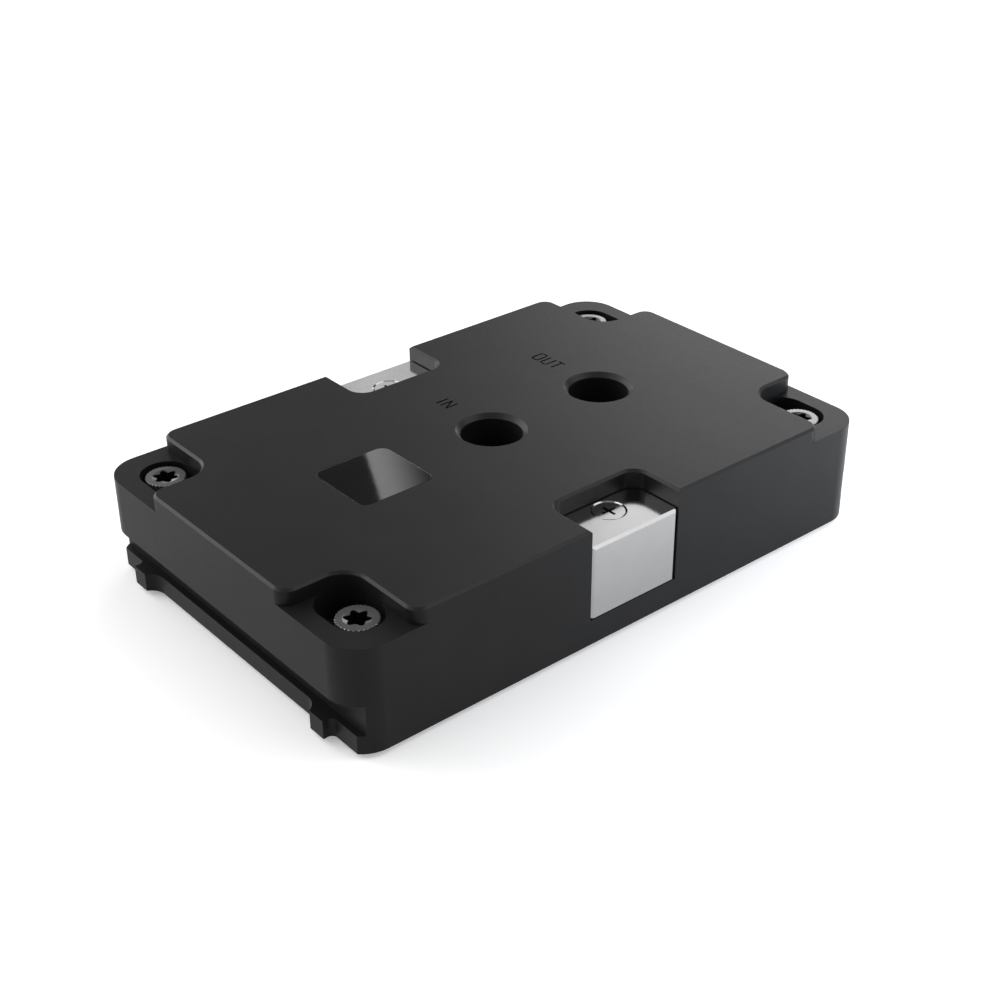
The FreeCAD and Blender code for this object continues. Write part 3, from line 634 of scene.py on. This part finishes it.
def in_pocket(place, brackets, outside):
    """True for a place on a wall of a bracket's pocket, inside the outer faces."""
    for low, high in brackets:
        across = low.x - POCKET_MARGIN < place.x < high.x + POCKET_MARGIN
        deep = low.y - POCKET_MARGIN < place.y < high.y + POCKET_MARGIN
        if across and deep and abs(place.y) < outside:
            return True
    return False


def make_housing(acetal, engraving, bevel_highlight, walls):
    """The housing with its two engraved words, a painted highlight on its upward bevels and its glossier
    pocket walls.
    """
    node = "housing"
    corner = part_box(node)[1]
    shape = bmesh.new()
    shape.from_mesh(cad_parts[node].data)
    bmesh.ops.remove_doubles(shape, verts=shape.verts, dist=WELD)
    piece = new_piece("engraved_housing", shape, (acetal, engraving, bevel_highlight, walls), "black_acetal", node)
    engrave(piece, corner.z, engraving)
    names = [material.name for material in piece.data.materials]
    brackets = [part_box(f"{side}_bracket") for side in SIDES]
    outside = corner.y - POCKET_INSET
    for face in piece.data.polygons:
        # bevels that face upwards take the painted highlight
        if BEVEL_SLOPE[0] < face.normal.z < BEVEL_SLOPE[1]:
            face.material_index = names.index(bevel_highlight.name)
        elif abs(face.normal.z) < WALL_SLOPE and in_pocket(face.center, brackets, outside):
            face.material_index = names.index(walls.name)
    smooth(piece)


def make_floor():
    """A plain white floor, a little brighter where it is seen directly, in gloss or through glass."""
    material, tree, shader, _ = new_material("white_floor", FLOOR_WHITE, FLOOR_GRAIN)
    shader.inputs["Roughness"].default_value = 1.0
    shader.inputs["Specular IOR Level"].default_value = 0.0
    shader.inputs["Emission Color"].default_value = WHITE
    rays = add_node(tree, "ShaderNodeLightPath").outputs
    seen = compute(tree, "MAXIMUM", rays["Is Camera Ray"], rays["Is Glossy Ray"])
    seen = compute(tree, "MAXIMUM", seen, rays["Is Transmission Ray"])
    tree.links.new(compute(tree, "MULTIPLY", seen, FLOOR_GLOW), shader.inputs["Emission Strength"])
    reach = FLOOR_REACH
    mesh = bpy.data.meshes.new("floor")
    mesh.from_pydata([(-reach, -reach, 0), (reach, -reach, 0), (reach, reach, 0), (-reach, reach, 0)],
                     [], [(0, 1, 2, 3)])
    mesh.materials.append(material)
    new_object("floor", mesh)


def step_up(tree, value, start, end):
    """A smooth step from 0 to 1."""
    return add_node(tree, "ShaderNodeMapRange", {
        "Value": value, "From Min": start, "From Max": end, "To Min": 0.0, "To Max": 1.0,
    }, interpolation_type="SMOOTHSTEP").outputs["Result"]


def window_mask(tree, azimuth, elevation, across, upright):
    """One inside a window of directions, falling smoothly to zero over its soft edges."""
    mask = None
    for value, (low, high, soft_low, soft_high) in ((azimuth, across), (elevation, upright)):
        for edge, soft in ((low, soft_low), (high, -soft_high)):
            if not soft:
                continue
            side = step_up(tree, value, math.radians(edge - soft), math.radians(edge + soft))
            mask = side if mask is None else compute(tree, "MULTIPLY", mask, side)
    return mask


def add_light(tree, total, name, mask, radiance):
    """The light so far, with more white light from where a mask is one."""
    strength = compute(tree, "MULTIPLY", mask, radiance)
    light = add_node(tree, "ShaderNodeBackground", {"Color": WHITE, "Strength": strength}, label=name)
    return add_node(tree, "ShaderNodeAddShader", {0: total, 1: light.outputs[0]}).outputs[0]


def make_world():
    """Studio light: a dim even room, soft windows, and a white backdrop that is only seen or mirrored."""
    world = bpy.data.worlds.new("studio")
    bpy.context.scene.world = world
    world.use_nodes = True
    tree = world.node_tree
    tree.nodes.clear()
    direction = add_node(tree, "ShaderNodeTexCoord").outputs["Generated"]
    axes = add_node(tree, "ShaderNodeSeparateXYZ", {"Vector": direction}).outputs
    azimuth = compute(tree, "ARCTAN2", axes["Y"], axes["X"])
    elevation = compute(tree, "ARCSINE", axes["Z"])
    total = add_node(tree, "ShaderNodeBackground", {"Color": WHITE, "Strength": AMBIENT}).outputs[0]
    above = compute(tree, "SUBTRACT", elevation, math.radians(LEAN_MIDDLE))
    for name, (across, upright, radiance, lean) in WINDOWS.items():
        turned = azimuth
        if lean:
            turned = compute(tree, "SUBTRACT", azimuth, compute(tree, "MULTIPLY", above, lean))
        mask = window_mask(tree, turned, elevation, across, upright)
        total = add_light(tree, total, name, mask, radiance)
    rays = add_node(tree, "ShaderNodeLightPath").outputs
    shown = compute(tree, "MAXIMUM", rays["Is Glossy Ray"], rays["Is Transmission Ray"])
    start, end = (math.radians(BACKDROP_TOP + soft) for soft in (BACKDROP_SOFT, -BACKDROP_SOFT))
    low = step_up(tree, elevation, start, end)
    seen = compute(tree, "MAXIMUM", rays["Is Camera Ray"], compute(tree, "MULTIPLY", shown, low))
    total = add_light(tree, total, "backdrop", seen, BACKDROP_GLOW)
    add_node(tree, "ShaderNodeOutputWorld", {"Surface": total})


def make_lamps():
    """Soft lamps close to the object, which neither the camera nor gloss shows."""
    for name, (place, size, power, colour) in LAMPS.items():
        data = bpy.data.lights.new(name, "AREA")
        data.shape = "RECTANGLE"
        data.size, data.size_y = size
        data.energy = power
        data.color = colour
        lamp = new_object(name, data)
        lamp.location = place
        lamp.rotation_euler = (LAMP_AIM - place).to_track_quat("-Z", "Y").to_euler()
        lamp.visible_camera = False
        lamp.visible_glossy = False


def make_camera():
    """The camera of the photo."""
    data = bpy.data.cameras.new("camera")
    data.lens = CAMERA_LENS
    data.sensor_width = CAMERA_SENSOR
    data.sensor_fit = "HORIZONTAL"
    data.clip_start = CAMERA_NEAR
    camera = new_object("camera", data)
    camera.location = CAMERA_PLACE
    camera.rotation_euler = [math.radians(angle) for angle in CAMERA_TURN]
    bpy.context.scene.camera = camera


def dress_object():
    """Every finish and every detailed piece."""
    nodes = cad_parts
    steel = make_steel("screw_steel")
    nut_steel = make_steel("nut_steel")
    spring = make_steel("spring_steel")
    aluminium = make_aluminium()
    # painted shade for the insides of the drives and crosses
    recess = make_recess_shade()
    acetal, bevel_highlight, walls = (make_acetal(name) for name in ACETALS)
    make_housing(acetal, make_engraving(), bevel_highlight, walls)
    finish(nodes["cold_plate"], "nickel_plate", make_nickel())
    finish(nodes["jet_plate"], "spring_steel", spring)
    finish(nodes["main_seal"], "seal_rubber", make_rubber())
    finish(nodes["badge_plate"], "gloss_black", make_gloss())
    make_plate_screws(steel, recess)
    for side in SIDES:
        finish(nodes[f"{side}_bracket"], "bracket_aluminium", aluminium)
        make_bracket_screw(side, steel, recess)
    for corner in CORNERS:
        make_nut(corner, nut_steel, recess)
        finish(nodes[f"mount_washer_{corner}"], "spring_steel", spring)
        finish(nodes[f"retaining_ring_{corner}"], "spring_steel", spring)
    for node in nodes.values():
        smooth(node)


def main():
    """The dressed object, its stage, its light and its camera."""
    scene = bpy.context.scene
    scene.view_settings.view_transform = "Standard"
    dress_object()
    make_floor()
    make_world()
    make_lamps()
    make_camera()


main()
